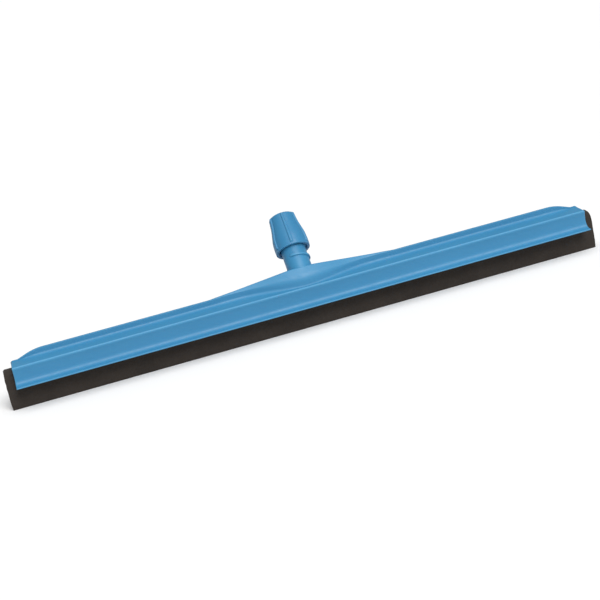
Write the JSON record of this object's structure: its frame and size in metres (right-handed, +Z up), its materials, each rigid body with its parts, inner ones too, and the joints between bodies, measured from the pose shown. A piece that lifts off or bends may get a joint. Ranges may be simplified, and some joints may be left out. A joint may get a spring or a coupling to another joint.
{
  "type": "floor squeegee head",
  "caption": "Floor squeegee head: long moulded hood with flared lips, folded foam-rubber blade and a leaning screw-clamp handle socket.",
  "frame": {"origin": "on the floor, under the middle of the hood, between the two rubber edges", "axes": "+X along the blade to the user's right, +Y to the back, where the handle leans, +Z up"},
  "size_m": [0.75, 0.0964, 0.1373],
  "materials": {
    "hood_plastic": "semi-matt moulded polypropylene, mid blue",
    "collar_plastic": "semi-matt moulded polypropylene, mid blue",
    "sleeve_plastic": "natural acetal, satin",
    "core_plastic": "extruded grey-black plastic strip",
    "moss_rubber": "closed-cell moss rubber, matt brown-black, cut faces"
  },
  "bodies": {
    "head": {"holder": "hood_plastic", "rubber_blade": "moss_rubber", "blade_core": "core_plastic"},
    "sleeve": {"clamp_sleeve": "sleeve_plastic"},
    "collar": {"lock_collar": "collar_plastic"}
  },
  "joints": [
    {"name": "sleeve_travel", "type": "slide", "parent": "head", "child": "sleeve", "axis": [0, 0.6129, 0.7902], "range_m": [-0.0085, 0.00425]},
    {"name": "collar_turn", "type": "hinge", "parent": "sleeve", "child": "collar", "pos_m": [0, 0, 0.0595], "axis": [0, 0.6129, 0.7902], "range_deg": [-180, 360]}
  ],
  "couplings": [
    {"joint": "sleeve_travel", "follows": "collar_turn", "m_per_rad": -0.0013528}
  ]
}
